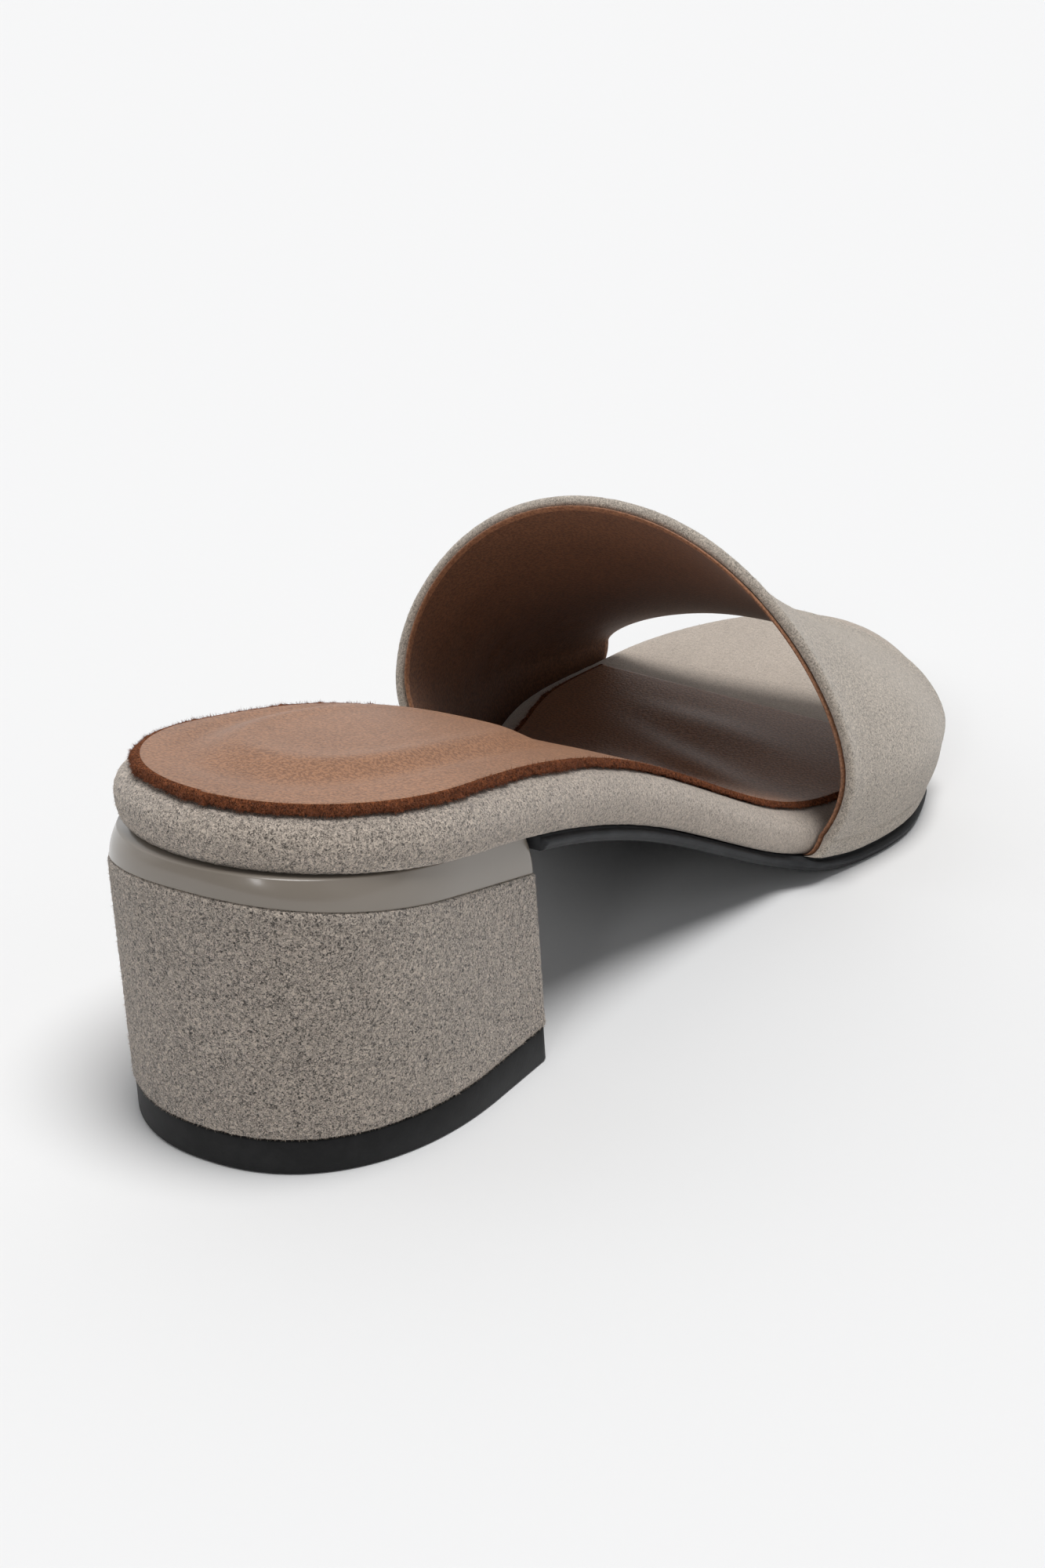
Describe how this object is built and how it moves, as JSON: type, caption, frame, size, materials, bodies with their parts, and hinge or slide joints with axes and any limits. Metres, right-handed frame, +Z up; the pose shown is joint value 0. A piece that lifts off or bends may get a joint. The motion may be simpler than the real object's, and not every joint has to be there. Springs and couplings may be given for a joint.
{
  "type": "block heel sandal",
  "caption": "Open-toe slip-on mule with one wide arched suede band, wrapped footbed, leather sock and suede-covered block heel; right shoe.",
  "frame": {"origin": "centre of the heel's top piece on the floor", "axes": "+Y from heel to toe, +X to the outer side of the foot, +Z up"},
  "size_m": [0.097, 0.2434, 0.0725],
  "materials": {
    "suede": "napped suede, matte",
    "insole_leather": "smooth tan leather, satin",
    "rubber": "moulded, matte",
    "moulded_rand": "moulded, glossy"
  },
  "bodies": {
    "root": {"upper": "suede", "footbed": "suede", "insole": "insole_leather", "outsole": "rubber", "heel_rand": "moulded_rand", "heel": "suede", "heel_top_piece": "rubber"}
  },
  "joints": []
}
